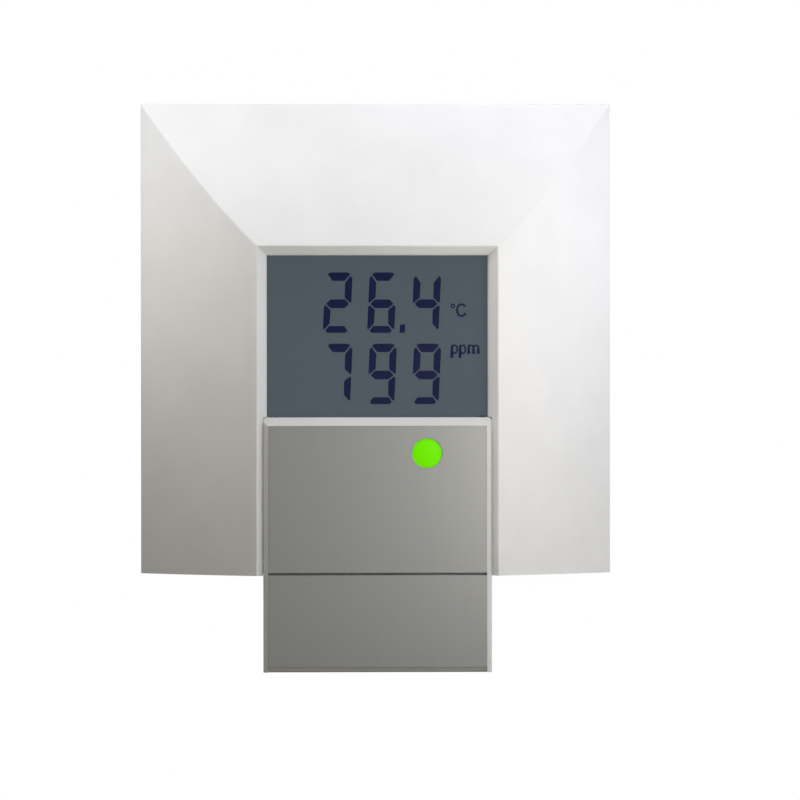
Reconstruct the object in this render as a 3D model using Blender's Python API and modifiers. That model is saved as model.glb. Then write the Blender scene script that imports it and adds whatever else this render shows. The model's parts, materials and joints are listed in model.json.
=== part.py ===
"""Wall-mounted air quality monitor that shows temperature and carbon dioxide.

The origin is the centre of the square body on the wall plane. +X is to the right for someone who
faces the monitor, +Z is up, and the front faces -Y. Every size is in millimetres, and MM turns it
into metres. A depth is a distance off the wall, so it lies at y = -depth.
"""

from math import pi, sqrt

import bmesh
import bpy
from mathutils import Matrix, Vector

MM = 0.001
SHARP_ANGLE = 0.6
MERGE = 0.00001

# Driving dimensions
BODY_HALF = 42.5
RIM_DEPTH = 10.0
FACE_DEPTH = 26.0
PAST_FACE = 28.0
WALL = 1.8
TOUCH = 0.3
SNUG = 0.06

# Cover frame: the ridge runs round the display and the module, and a bevel falls inwards from it
COVER_BACK = 0.4
RIDGE_HALF = 21.5
RIDGE_TOP = 16.2
SIDE_CROWN = 0.25
TOP_CROWN = 0.06
FACET_STEPS = 12
LIP_DEPTH = 24.2
LIP_BACK = 23.8
FRAME_BACK = 23.3
ROOF_DROP = 1.1
RIDGE_WALL = 0.8
CHANNEL_FOOT = -44.0
PILOT_RADIUS = 1.2
BOSS_RADIUS = 2.6
VENT_HALF = 0.9
VENT_DEPTHS = (5.2, 8.4)
VENT_REACH = (39.5, 44.0)
WINDOW_HALF = 19.7
WINDOW_TOP = 14.6

# Module: a flat-faced box whose lower end is the nose
MODULE_HALF = 20.36
MODULE_BACK = 8.6
MODULE_TOP = 17.6
MODULE_WALL = 1.56
NOSE_TIP = -59.7
NOSE_ROUNDING = 1.1
HEAD_TOP = -14.3
HEAD_FACE_TOP = -15.8
FACE_HALF = 19.5
BAY_FRONT = 19.6
PLATE_BACK = 24.4
POCKET_FLOOR = 24.1
PARTING_Z = -42.2
PARTING_GAP = 0.4
BRIDGE_DEPTHS = (22.2, 24.0)
BRIDGE_Z = (-43.6, -41.8)
CHANNEL_HALF = MODULE_HALF + SNUG
INNER_HALF = MODULE_HALF - MODULE_WALL

# Stack inside the module
REAR_COVER = (MODULE_BACK, 10.0)
BOARD = (12.9, 14.5)
BOARD_BACK = BOARD[0] - TOUCH
BOARD_FRONT = BOARD[1] + TOUCH
LCD = (19.9, 21.9)
WINDOW = (22.2, 23.4)
POST = (BOARD_FRONT, 19.4)
BOARD_SCREWS = [(side * 16.9, z) for z in (13.9, -55.2) for side in (-1, 1)]
EAR_SCREWS = [(side * 25.2, z) for z in (10.0, -34.0) for side in (-1, 1)]
EAR = (10.4, 12.2)
BOSS = (12.5, 21.9)

# Indicator
LED_X = 8.9
LED_Z = -20.7
LED_RADIUS = 2.55

# Settings behind the service cover
DIP_X = (-14.6, -3.2)
DIP_Z = (-51.0, -44.6)
DIP_FRONT = 18.0
DIP_PITCH = 2.54
DIP_COUNT = 4
DIP_FIRST = -12.71
SLIDER_TRAVEL = 1.6
BUTTON = (7.0, -47.6)
BUTTON_TRAVEL = 0.5
SENSOR = (0.0, -54.8)

# Wall plate and field wiring
PLATE_HALF = 40.3
PLATE_FLOOR = 1.8
PLATE_LIP = 4.6
WALL_SLOTS = (30.0, -30.0)
CABLE_X = (-31.0, -13.0)
CABLE_Z = (-13.0, 13.0)
TERMINAL_BOARD = (3.4, 5.0)
TERMINAL_BACK = TERMINAL_BOARD[1] + TOUCH
TERMINAL_X = (25.5, 34.0)
TERMINAL_PITCH = 5.0
TERMINAL_COUNT = 6
TERMINAL_FIRST = -24.5
TERMINAL_BOARD_SCREWS = [(20.0, 3.0), (20.0, -27.0)]
PLUG_X = 8.5
PLUG_Z = (-23.0, -3.0)
PLUG_PINS = 8

FINISHES = {
    "white": ((0.80, 0.79, 0.76), 0.42, 0.0),
    "grey": ((0.30, 0.30, 0.28), 0.38, 0.35),
    "light_grey": ((0.62, 0.62, 0.60), 0.5, 0.0),
    "clear": ((0.85, 0.90, 0.92), 0.05, 0.0),
    "slate": ((0.08, 0.10, 0.12), 0.25, 0.0),
    "green_lens": ((0.17, 0.85, 0.01), 0.3, 0.0),
    "board": ((0.02, 0.14, 0.06), 0.45, 0.0),
    "black": ((0.02, 0.02, 0.02), 0.5, 0.0),
    "steel": ((0.62, 0.62, 0.60), 0.3, 1.0),
    "aluminium": ((0.75, 0.76, 0.78), 0.35, 1.0),
    "terminal_green": ((0.03, 0.22, 0.08), 0.4, 0.0),
    "switch_red": ((0.45, 0.03, 0.03), 0.45, 0.0),
    "membrane": ((0.85, 0.85, 0.83), 0.8, 0.0),
}


# ---------------------------------------------------------------- scene and helpers


def clear_scene():
    for old in list(bpy.data.objects):
        bpy.data.objects.remove(old, do_unlink=True)


def new_collection(name, hidden):
    collection = bpy.data.collections.new(name)
    collection.hide_render = hidden
    bpy.context.scene.collection.children.link(collection)
    return collection


def new_finish(name, colour, roughness, metallic):
    material = bpy.data.materials.new(name)
    material.use_nodes = True
    shader = material.node_tree.nodes["Principled BSDF"]
    shader.inputs["Base Color"].default_value = (*colour, 1.0)
    shader.inputs["Roughness"].default_value = roughness
    shader.inputs["Metallic"].default_value = metallic
    return material


def new_body(name, x=0.0, depth=0.0, z=0.0):
    """An empty that carries the pieces of one rigid body, on its joint's axis."""
    empty = bpy.data.objects.new(name, None)
    empty.location = Vector((x, -depth, z)) * MM
    PARTS.objects.link(empty)
    bpy.context.view_layer.update()
    return empty


def centred(obj):
    """Moves the origin to the middle of the mesh without moving the piece."""
    points = [vertex.co for vertex in obj.data.vertices]
    middle = (
        Vector([min(axis) for axis in zip(*points)])
        + Vector([max(axis) for axis in zip(*points)])
    ) / 2
    obj.data.transform(Matrix.Translation(-middle))
    obj.location = middle


def smooth(mesh):
    mesh.shade_smooth()
    mesh.set_sharp_from_angle(angle=SHARP_ANGLE)


def carry(obj, body):
    """Parents a piece to its body's empty, and leaves it where it is."""
    obj.parent = body
    obj.matrix_parent_inverse = body.matrix_world.inverted()


def add_part(name, shape, finish, body):
    """Turns a bmesh into a named piece with its own material."""
    bmesh.ops.recalc_face_normals(shape, faces=shape.faces)
    mesh = bpy.data.meshes.new(name)
    shape.to_mesh(mesh)
    shape.free()
    part = bpy.data.objects.new(name, mesh)
    PARTS.objects.link(part)
    centred(part)
    smooth(mesh)
    mesh.materials.append(new_finish(name, *FINISHES[finish]))
    carry(part, body)
    return part


def add_cutter(name, shape):
    bmesh.ops.recalc_face_normals(shape, faces=shape.faces)
    mesh = bpy.data.meshes.new(name)
    shape.to_mesh(mesh)
    shape.free()
    cutter = bpy.data.objects.new(name, mesh)
    CUTTERS.objects.link(cutter)
    cutter.display_type = "WIRE"
    cutter.hide_render = True
    return cutter


def combine(part, name, shape, operation):
    modifier = part.modifiers.new(name, "BOOLEAN")
    modifier.operation = operation
    modifier.solver = "EXACT"
    modifier.object = add_cutter(part.name + "_" + name, shape)


def cut(part, name, shape):
    combine(part, name, shape, "DIFFERENCE")


def join(part, name, shape):
    combine(part, name, shape, "UNION")


def place(x, depth, z):
    return Vector((x, -depth, z)) * MM


def add_box(shape, xs, depths, zs):
    """Adds a box to a bmesh and returns its vertices."""
    size = Vector((xs[1] - xs[0], depths[1] - depths[0], zs[1] - zs[0])) * MM
    middle = place(sum(xs) / 2, sum(depths) / 2, sum(zs) / 2)
    matrix = Matrix.Translation(middle) @ Matrix.Diagonal((*size, 1))
    return bmesh.ops.create_cube(shape, size=1.0, matrix=matrix)["verts"]


def add_rod(shape, x, z, radius, depths, sides=20):
    """Adds a cylinder that stands off the wall and returns its vertices."""
    middle = place(x, sum(depths) / 2, z)
    matrix = Matrix.Translation(middle) @ Matrix.Rotation(pi / 2, 4, "X")
    made = bmesh.ops.create_cone(
        shape,
        cap_ends=True,
        segments=sides,
        radius1=radius * MM,
        radius2=radius * MM,
        depth=(depths[1] - depths[0]) * MM,
        matrix=matrix,
    )
    return made["verts"]


def add_long_hole(shape, x, z, radius, length, depths):
    """Adds a round-ended slot shape that runs along z."""
    shift = Vector((0, 0, (length / 2 - radius) * MM))
    for vertex in add_rod(shape, x, z, radius, depths):
        vertex.co += shift if vertex.co.z > z * MM + 1e-9 else -shift


def boxes(*ranges):
    shape = bmesh.new()
    for xs, depths, zs in ranges:
        add_box(shape, xs, depths, zs)
    return shape


def rods(places, radius, depths):
    shape = bmesh.new()
    for x, z in places:
        add_rod(shape, x, z, radius, depths)
    return shape


def add_turned(name, profile, x, z, finish, body, steps=28):
    """A turned piece. The profile is (radius, depth) down its outer side from front to back."""
    mesh = bpy.data.meshes.new(name)
    points = [(radius * MM, 0.0, depth * MM) for radius, depth in profile]
    mesh.from_pydata(points, [(i, i + 1) for i in range(len(points) - 1)], [])
    part = bpy.data.objects.new(name, mesh)
    PARTS.objects.link(part)
    part.location = place(x, 0, z)
    part.rotation_euler = (pi / 2, 0, 0)
    screw = part.modifiers.new("turn", "SCREW")
    screw.steps = steps
    screw.render_steps = steps
    screw.use_merge_vertices = True
    screw.merge_threshold = MERGE
    mesh.materials.append(new_finish(name, *FINISHES[finish]))
    carry(part, body)
    return part


def outline_mesh(name, points, half, turn):
    """A closed flat outline, extruded by half each way and turned into place, as a clean mesh."""
    curve = bpy.data.curves.new(name, "CURVE")
    curve.dimensions = "2D"
    curve.fill_mode = "BOTH"
    curve.extrude = half * MM
    spline = curve.splines.new("POLY")
    spline.points.add(len(points) - 1)
    for point, (u, v) in zip(spline.points, points):
        point.co = (u * MM, v * MM, 0, 1)
    spline.use_cyclic_u = True
    guide = bpy.data.objects.new(name, curve)
    CUTTERS.objects.link(guide)
    bpy.context.view_layer.update()
    graph = bpy.context.evaluated_depsgraph_get()
    mesh = bpy.data.meshes.new_from_object(guide.evaluated_get(graph))
    bpy.data.objects.remove(guide, do_unlink=True)
    shape = bmesh.new()
    shape.from_mesh(mesh)
    bpy.data.meshes.remove(mesh)
    bmesh.ops.remove_doubles(shape, verts=shape.verts, dist=1e-6)
    bmesh.ops.transform(shape, matrix=turn, verts=shape.verts)
    return shape


def front_outline(name, points, depths):
    """A plate parallel to the wall, from (x, z) points."""
    turn = Matrix.Translation(place(0, sum(depths) / 2, 0)) @ Matrix.Rotation(pi / 2, 4, "X")
    return outline_mesh(name, points, (depths[1] - depths[0]) / 2, turn)


def side_outline(name, points, half):
    """A block as wide as half each way, from (depth, z) points of its side view."""
    turn = Matrix(((0, 0, 1, 0), (-1, 0, 0, 0), (0, 1, 0, 0), (0, 0, 0, 1)))
    return outline_mesh(name, points, half, turn)


def slice_off(shape, point, normal):
    """Cuts away what lies beyond a plane, and closes the cut."""
    everything = list(shape.verts) + list(shape.edges) + list(shape.faces)
    bmesh.ops.bisect_plane(
        shape, geom=everything, plane_co=point, plane_no=normal, clear_outer=True
    )
    rim = [edge for edge in shape.edges if edge.is_boundary]
    bmesh.ops.holes_fill(shape, edges=rim, sides=0)


# ---------------------------------------------------------------- cover frame


def way_in(share, crown):
    """How far in from the rim a facet has risen by this share, for a slightly crowned facet."""
    lead = 1 + crown
    return (lead - sqrt(lead**2 - 4 * crown * share)) / (2 * crown)


def facet_sections(outside, ridge_half, ridge_top, low, high):
    """(half width, top, depth) of the facets from just above the rim to the ridge."""
    sections = []
    for step in range(1, FACET_STEPS + 1):
        share = step / FACET_STEPS
        half = outside - (outside - ridge_half) * way_in(share, SIDE_CROWN)
        top = outside - (outside - ridge_top) * way_in(share, TOP_CROWN)
        sections.append((half, top, low + (high - low) * share))
    return sections


def nested_arches(sections, bottom):
    """A solid through arch-shaped sections that all stand on the same level."""
    shape = bmesh.new()
    rings = []
    for half, top, depth in sections:
        corners = ((-half, bottom), (-half, top), (half, top), (half, bottom))
        rings.append([shape.verts.new(place(x, depth, z)) for x, z in corners])
    for lower, upper in zip(rings, rings[1:]):
        for i in range(3):
            shape.faces.new((lower[i], lower[i + 1], upper[i + 1], upper[i]))
    shape.faces.new(rings[0])
    shape.faces.new(rings[-1])
    shape.faces.new([ring[0] for ring in rings] + [ring[3] for ring in reversed(rings)])
    return shape


def make_cover_frame(body):
    outer = [(BODY_HALF, BODY_HALF, COVER_BACK), (BODY_HALF, BODY_HALF, RIM_DEPTH)]
    outer += facet_sections(BODY_HALF, RIDGE_HALF, RIDGE_TOP, RIM_DEPTH, FACE_DEPTH)
    outer += [(WINDOW_HALF, WINDOW_TOP, LIP_DEPTH), (WINDOW_HALF, WINDOW_TOP, FRAME_BACK)]
    cover = add_part("cover_frame", nested_arches(outer, -BODY_HALF), "white", body)

    inside = BODY_HALF - WALL
    roof = RIM_DEPTH - ROOF_DROP
    ridge = (RIDGE_HALF + RIDGE_WALL, RIDGE_TOP + RIDGE_WALL)
    inner = [(inside, inside, -1.0), (inside, inside, roof)]
    inner += facet_sections(inside, *ridge, roof, LIP_BACK)
    cut(cover, "hollow", nested_arches(inner, -inside))
    heights = (CHANNEL_FOOT, HEAD_TOP + SNUG)
    cut(cover, "channel", boxes(((-CHANNEL_HALF, CHANNEL_HALF), (MODULE_BACK - TOUCH, PAST_FACE), heights)))
    join(cover, "bosses", rods(EAR_SCREWS, BOSS_RADIUS, BOSS))
    cut(cover, "pilots", rods(EAR_SCREWS, PILOT_RADIUS, (12.0, 19.0)))
    upper_places = range(-24, 25, 6)
    lower_places = [side * x for side in (-1, 1) for x in (25, 29, 33, 37)]
    upper = [((x - VENT_HALF, x + VENT_HALF), VENT_DEPTHS, VENT_REACH) for x in upper_places]
    below = (-VENT_REACH[1], -VENT_REACH[0])
    lower = [((x - VENT_HALF, x + VENT_HALF), VENT_DEPTHS, below) for x in lower_places]
    cut(cover, "vents", boxes(*upper, *lower))


# ---------------------------------------------------------------- module housing and its plates


def make_module_housing(body):
    side_view = [
        (MODULE_BACK, NOSE_TIP),
        (FACE_DEPTH, NOSE_TIP),
        (FACE_DEPTH, HEAD_FACE_TOP),
        (LIP_DEPTH, HEAD_TOP),
        (BAY_FRONT, HEAD_TOP),
        (BAY_FRONT, MODULE_TOP),
        (MODULE_BACK, MODULE_TOP),
    ]
    shape = side_outline("module_outline", side_view, MODULE_HALF)
    for side in (-1, 1):
        slice_off(shape, place(side * FACE_HALF, FACE_DEPTH, 0), Vector((side, -1, 0)))
    housing = add_part("module_housing", shape, "white", body)

    hollow_view = [
        (7.0, NOSE_TIP - 1),
        (PAST_FACE, NOSE_TIP - 1),
        (PAST_FACE, HEAD_FACE_TOP),
        (LIP_BACK, HEAD_FACE_TOP),
        (LIP_BACK, MODULE_TOP - MODULE_WALL),
        (7.0, MODULE_TOP - MODULE_WALL),
    ]
    cut(housing, "hollow", side_outline("hollow_outline", hollow_view, INNER_HALF))
    pocket = ((-FACE_HALF, FACE_HALF), (POCKET_FLOOR, PAST_FACE), (NOSE_TIP - 1, HEAD_FACE_TOP))
    cut(housing, "pocket", boxes(pocket))

    bridge_half = INNER_HALF + 0.6
    join(housing, "bridge", boxes(((-bridge_half, bridge_half), BRIDGE_DEPTHS, BRIDGE_Z)))

    posts = []
    for side in (-1, 1):
        span = (15.0, INNER_HALF + 0.6) if side > 0 else (-INNER_HALF - 0.6, -15.0)
        posts.append((span, POST, (12.0, 16.6)))
        posts.append((span, POST, (-57.2, -53.2)))
    join(housing, "posts", boxes(*posts))
    cut(housing, "post_pilots", rods(BOARD_SCREWS, PILOT_RADIUS, (14.0, 18.5)))

    ears = []
    for x, z in EAR_SCREWS:
        span = (INNER_HALF + 0.7, 28.2) if x > 0 else (-28.2, -INNER_HALF - 0.7)
        ears.append((span, EAR, (z - 3.6, z + 3.6)))
    join(housing, "ears", boxes(*ears))
    cut(housing, "ear_holes", rods(EAR_SCREWS, 1.4, (9.0, 13.0)))


def make_upper_face_plate(body):
    half = FACE_HALF - SNUG
    heights = (PARTING_Z + PARTING_GAP / 2, HEAD_FACE_TOP - SNUG)
    plate = add_part(
        "upper_face_plate",
        boxes(((-half, half), (PLATE_BACK, FACE_DEPTH), heights)),
        "grey",
        body,
    )
    cut(plate, "indicator_hole", rods([(LED_X, LED_Z)], LED_RADIUS + 0.1, (23.0, PAST_FACE)))


def make_service_cover(body):
    half = FACE_HALF - SNUG
    top = PARTING_Z - PARTING_GAP / 2
    shape = boxes(((-half, half), (PLATE_BACK, FACE_DEPTH), (NOSE_TIP, top)))
    shape.edges.ensure_lookup_table()
    nose_edge = [
        edge
        for edge in shape.edges
        if all(
            abs(vertex.co.y + FACE_DEPTH * MM) < 1e-7 and abs(vertex.co.z - NOSE_TIP * MM) < 1e-7
            for vertex in edge.verts
        )
    ]
    bmesh.ops.bevel(shape, geom=nose_edge, offset=NOSE_ROUNDING * MM, segments=4, profile=0.5, affect="EDGES")
    cover = add_part("service_cover", shape, "grey", body)
    floor_half = INNER_HALF - TOUCH
    floor = ((-floor_half, floor_half), (REAR_COVER[1] + TOUCH, 25.0), (NOSE_TIP + 0.02, -58.3))
    ribs = [((17.3, floor_half), (19.8, 25.0), (-58.8, -44.0))]
    ribs.append(((-floor_half, -17.3), (19.8, 25.0), (-58.8, -44.0)))
    join(cover, "floor", boxes(floor))
    join(cover, "ribs", boxes(*ribs))
    vents = [((x - 0.8, x + 0.8), (13.0, 21.0), (-61.0, -57.0)) for x in range(-12, 13, 4)]
    cut(cover, "vents", boxes(*vents))


def make_rear_cover(body):
    half = INNER_HALF - TOUCH
    heights = (NOSE_TIP + TOUCH, MODULE_TOP - MODULE_WALL - TOUCH)
    cover = add_part(
        "rear_cover", boxes(((-half, half), REAR_COVER, heights)), "light_grey", body
    )
    through = (7.5, 11.0)
    pins = ((PLUG_X - 1.1, PLUG_X + 1.1), through, (PLUG_Z[0] + 0.4, PLUG_Z[1] - 0.4))
    slots = [((x - 0.8, x + 0.8), through, (-57.0, -45.0)) for x in range(-14, 15, 4)]
    slots += [((x - 0.8, x + 0.8), through, (-39.0, -28.0)) for x in range(-14, 7, 4)]
    cut(cover, "slots", boxes(pins, *slots))


# ---------------------------------------------------------------- display


def display_outline():
    """A rectangle with a narrower strip along its foot, which tucks under the module's top edge."""
    foot_half = INNER_HALF - 0.4
    half = MODULE_HALF - 0.16
    shoulder = HEAD_TOP + TOUCH
    return [
        (-foot_half, -15.2),
        (foot_half, -15.2),
        (foot_half, shoulder),
        (half, shoulder),
        (half, 16.4),
        (-half, 16.4),
        (-half, shoulder),
        (-foot_half, shoulder),
    ]


def make_display(body):
    points = display_outline()
    add_part("display_window", front_outline("window_outline", points, WINDOW), "clear", body)
    add_part("lcd_cell", front_outline("lcd_outline", points, LCD), "slate", body)
    half = INNER_HALF - 0.4
    through = (BOARD_FRONT, LCD[0] - TOUCH)
    holder = add_part("lcd_holder", boxes(((-half, half), through, (-13.9, 11.6))), "black", body)
    cut(holder, "hollow", boxes(((1.8 - half, half - 1.8), (14.0, 21.0), (-12.1, 9.8))))
    add_part("lcd_contact_strip", boxes(((-15.0, 15.0), through, (-11.8, -10.0))), "black", body)


# ---------------------------------------------------------------- main board and what it carries


def make_main_board(body):
    half = INNER_HALF - 0.4
    board = add_part("main_board", boxes(((-half, half), BOARD, (-57.4, 15.7))), "board", body)
    cut(board, "holes", rods(BOARD_SCREWS, 1.3, (12.0, 15.5)))
    slots = [((x - 0.5, x + 0.5), (12.0, 15.5), (-58.5, -52.4)) for x in (-6.2, 6.2)]
    cut(board, "slots", boxes(*slots))


def make_screw(name, x, z, head_radius, head, tip, radius, body):
    """A pan-head screw that is driven from the back, or from the front if its tip lies behind."""
    crown = head[1] if tip < head[0] else head[0]
    seat = head[0] if tip < head[0] else head[1]
    step = (crown - seat) * 0.35
    profile = [
        (0.0, crown),
        (head_radius * 0.75, crown),
        (head_radius, crown - step),
        (head_radius, seat),
        (radius, seat),
        (radius, tip),
        (0.0, tip),
    ]
    if crown < seat:
        profile.reverse()
    add_turned(name, profile, x, z, "steel", body, steps=16)


def make_screws(body):
    for number, (x, z) in enumerate(BOARD_SCREWS, start=1):
        make_screw(f"main_board_screw_{number}", x, z, 1.9, (10.9, 12.6), 17.6, 0.95, body)
    for number, (x, z) in enumerate(EAR_SCREWS, start=1):
        make_screw(f"housing_screw_{number}", x, z, 2.1, (8.3, 10.1), 17.8, 0.95, body)


def make_pin_header(body):
    base = ((PLUG_X - 2.5, PLUG_X + 2.5), (10.4, BOARD_BACK), PLUG_Z)
    header = add_part("pin_header", boxes(base), "black", body)
    pitch = (PLUG_Z[1] - PLUG_Z[0] - 3.2) / (PLUG_PINS - 1)
    pins = []
    for number in range(PLUG_PINS):
        z = PLUG_Z[0] + 1.6 + number * pitch
        pins.append(((PLUG_X - 0.32, PLUG_X + 0.32), (6.6, 11.4), (z - 0.32, z + 0.32)))
    join(header, "pins", boxes(*pins))


def make_electronics(body):
    back = BOARD_BACK
    add_part("processor", boxes(((-12.0, -2.0), (11.1, back), (-2.0, 8.0))), "black", body)
    add_part("voltage_regulator", boxes(((-12.0, -5.5), (10.4, back), (-14.0, -8.0))), "black", body)
    can = [(0.0, 22.4), (2.8, 22.4), (3.15, 22.0), (3.15, BOARD_FRONT), (0.0, BOARD_FRONT)]
    for number, x in enumerate((-12.6, -5.2), start=1):
        add_turned(f"filter_capacitor_{number}", can, x, -20.2, "aluminium", body, steps=20)
    cell = add_part(
        "co2_cell", boxes(((-17.5, 15.0), (BOARD_FRONT, 22.6), (-41.5, -24.4))), "aluminium", body
    )
    cut(cell, "gas_window", boxes(((-13.0, 5.0), (21.4, 24.0), (-38.5, -27.5))))
    add_part("co2_filter", boxes(((-12.7, 4.7), (21.7, 22.5), (-38.2, -27.8))), "membrane", body)


def make_humidity_sensor(body):
    x, z = SENSOR
    chip = ((x - 1.5, x + 1.5), (BOARD_FRONT, 15.9), (z - 1.5, z + 1.5))
    add_part("humidity_sensor", boxes(chip), "black", body)
    cap = add_part(
        "sensor_cap", boxes(((x - 4, x + 4), (BOARD_FRONT, 18.0), (z - 2.4, z + 2.4))), "white", body
    )
    cut(cap, "hollow", boxes(((x - 3.1, x + 3.1), (14.0, 17.1), (z - 1.8, z + 1.8))))
    bars = [x + offset for offset in (-2.1, -0.7, 0.7, 2.1)]
    grille = [((bar - 0.35, bar + 0.35), (16.5, 19.0), (z - 1.5, z + 1.5)) for bar in bars]
    cut(cap, "grille", boxes(*grille))


def make_indicator(body):
    spacer = [(2.4, 19.5), (2.4, BOARD_FRONT), (1.0, BOARD_FRONT), (1.0, 19.5), (2.4, 19.5)]
    add_turned("led_spacer", spacer, LED_X, LED_Z, "black", body, steps=20)
    dome = [(LED_RADIUS * radius, 25.2 + 1.3 * rise) for radius, rise in dome_points(5)]
    profile = dome + [(LED_RADIUS, 20.9), (2.9, 20.9), (2.9, 19.8), (0.0, 19.8)]
    add_turned("indicator_led", profile, LED_X, LED_Z, "green_lens", body)


def dome_points(steps):
    """Points of a quarter circle from its top down to its side, as shares of its radius."""
    rises = [1 - step / steps for step in range(steps + 1)]
    return [(sqrt(1 - rise**2), rise) for rise in rises]


# ---------------------------------------------------------------- settings behind the service cover


def make_dip_switch(body, bodies):
    switch = add_part(
        "dip_switch_body", boxes((DIP_X, (BOARD_FRONT, DIP_FRONT), DIP_Z)), "switch_red", body
    )
    centres = [DIP_FIRST + DIP_PITCH * number for number in range(DIP_COUNT)]
    track = (DIP_Z[0] + 1.4, DIP_Z[1] - 1.4)
    wells = [((x - 0.65, x + 0.65), (16.4, 19.0), track) for x in centres]
    cut(switch, "wells", boxes(*wells))
    low = track[0] + TOUCH
    height = track[1] - TOUCH - low - SLIDER_TRAVEL
    for number, (x, slider_body) in enumerate(zip(centres, bodies), start=1):
        knob = ((x - 0.45, x + 0.45), (16.6, DIP_FRONT + 0.7), (low, low + height))
        add_part(f"dip_slider_{number}", boxes(knob), "white", slider_body)


def make_calibration_button(body, button_body):
    x, z = BUTTON
    base = add_part(
        "button_base", boxes(((x - 3, x + 3), (BOARD_FRONT, 17.9), (z - 3, z + 3))), "black", body
    )
    cut(base, "well", rods([BUTTON], 1.95, (17.0, 19.0)))
    profile = [(0.0, 19.4), (1.4, 19.4), (1.65, 19.15), (1.65, 17.1 + BUTTON_TRAVEL)]
    profile.append((0.0, 17.1 + BUTTON_TRAVEL))
    add_turned("calibration_button", profile, x, z, "switch_red", button_body, steps=20)


# ---------------------------------------------------------------- wall plate and field wiring


def make_wall_plate(body):
    wide = (-PLATE_HALF, PLATE_HALF)
    plate = add_part("wall_plate", boxes((wide, (0.0, PLATE_LIP), wide)), "white", body)
    inner = (-PLATE_HALF + 1.4, PLATE_HALF - 1.4)
    cut(plate, "tray", boxes((inner, (PLATE_FLOOR, 6.0), inner)))
    clips = []
    for side in (-1, 1):
        span = (38.8, 40.1) if side > 0 else (-40.1, -38.8)
        clips += [(span, (1.0, 8.8), (z - 4.0, z + 4.0)) for z in (-20.0, 20.0)]
    join(plate, "clips", boxes(*clips))
    board_rest = TERMINAL_BOARD[0] - TOUCH
    join(plate, "rest", boxes(((30.5, 34.0), (1.0, board_rest), (-20.0, -4.0))))
    join(plate, "bosses", rods(TERMINAL_BOARD_SCREWS, BOSS_RADIUS, (1.0, board_rest)))
    cut(plate, "pilots", rods(TERMINAL_BOARD_SCREWS, 1.25, (0.7, 4.0)))
    cut(plate, "cable_opening", boxes((CABLE_X, (-2.0, 6.0), CABLE_Z)))
    holes = bmesh.new()
    for z in WALL_SLOTS:
        add_long_hole(holes, 0.0, z, 2.2, 9.0, (-2.0, 6.0))
    cut(plate, "wall_slots", holes)


def terminal_places():
    x = sum(TERMINAL_X) / 2
    return [(x, TERMINAL_FIRST + TERMINAL_PITCH * number) for number in range(TERMINAL_COUNT)]


def make_terminals(body):
    board = add_part(
        "terminal_board", boxes(((2.5, 36.5), TERMINAL_BOARD, (-30.0, 6.0))), "board", body
    )
    cut(board, "holes", rods(TERMINAL_BOARD_SCREWS, 1.4, (2.5, 6.0)))
    for number, (x, z) in enumerate(TERMINAL_BOARD_SCREWS, start=1):
        make_screw(f"board_screw_{number}", x, z, 2.0, (5.3, 6.8), 1.0, 0.95, body)
    places = terminal_places()
    ends = (places[0][1] - TERMINAL_PITCH / 2, places[-1][1] + TERMINAL_PITCH / 2)
    block = add_part(
        "terminal_block", boxes((TERMINAL_X, (TERMINAL_BACK, 13.2), ends)), "terminal_green", body
    )
    cut(block, "screw_wells", rods(places, 1.95, (9.8, 15.0)))
    wires = [((24.0, 29.0), (6.2, 9.2), (z - 1.6, z + 1.6)) for _, z in places]
    cut(block, "wire_holes", boxes(*wires))
    for number, (x, z) in enumerate(places, start=1):
        screw = add_part(
            f"terminal_screw_{number}", rods([(x, z)], 1.6, (10.1, 12.3)), "steel", body
        )
        cut(screw, "slot", boxes(((x - 2.5, x + 2.5), (11.5, 13.0), (z - 0.25, z + 0.25))))


def make_plug_socket(body):
    socket = add_part(
        "plug_socket", boxes(((PLUG_X - 2.5, PLUG_X + 2.5), (TERMINAL_BACK, 8.2), PLUG_Z)), "black", body
    )
    well = ((PLUG_X - 0.9, PLUG_X + 0.9), (6.0, 9.0), (PLUG_Z[0] + 0.6, PLUG_Z[1] - 0.6))
    cut(socket, "well", boxes(well))


clear_scene()
PARTS = new_collection("air_quality_monitor", hidden=False)
CUTTERS = new_collection("cutters", hidden=True)

wall_base = new_body("wall_base")
front = new_body("front_pull", 0.0, MODULE_BACK, 0.0)
service_slide = new_body("service_slide", 0.0, PLATE_BACK, NOSE_TIP)
slider_slides = [
    new_body(f"slider_slide_{n + 1}", DIP_FIRST + DIP_PITCH * n, DIP_FRONT, DIP_Z[0])
    for n in range(DIP_COUNT)
]
button_press = new_body("button_press", BUTTON[0], 19.4, BUTTON[1])
for moving in (service_slide, button_press, *slider_slides):
    carry(moving, front)

make_wall_plate(wall_base)
make_terminals(wall_base)
make_plug_socket(wall_base)
make_cover_frame(front)
make_module_housing(front)
make_upper_face_plate(front)
make_rear_cover(front)
make_display(front)
make_main_board(front)
make_screws(front)
make_pin_header(front)
make_electronics(front)
make_humidity_sensor(front)
make_indicator(front)
make_dip_switch(front, slider_slides)
make_calibration_button(front, button_press)
make_service_cover(service_slide)
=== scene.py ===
"""Looks of the wall-mounted air quality monitor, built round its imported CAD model.

Lengths in the tables below are in millimetres, and MM turns them into metres. A depth is a distance
off the wall, so it lies at y = -depth. +X is to the right for someone who faces the monitor, +Z is up.
"""

import json
from math import copysign, cos, pi, radians, sin, tan

import bmesh
import bpy
from mathutils import Matrix, Vector


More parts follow.
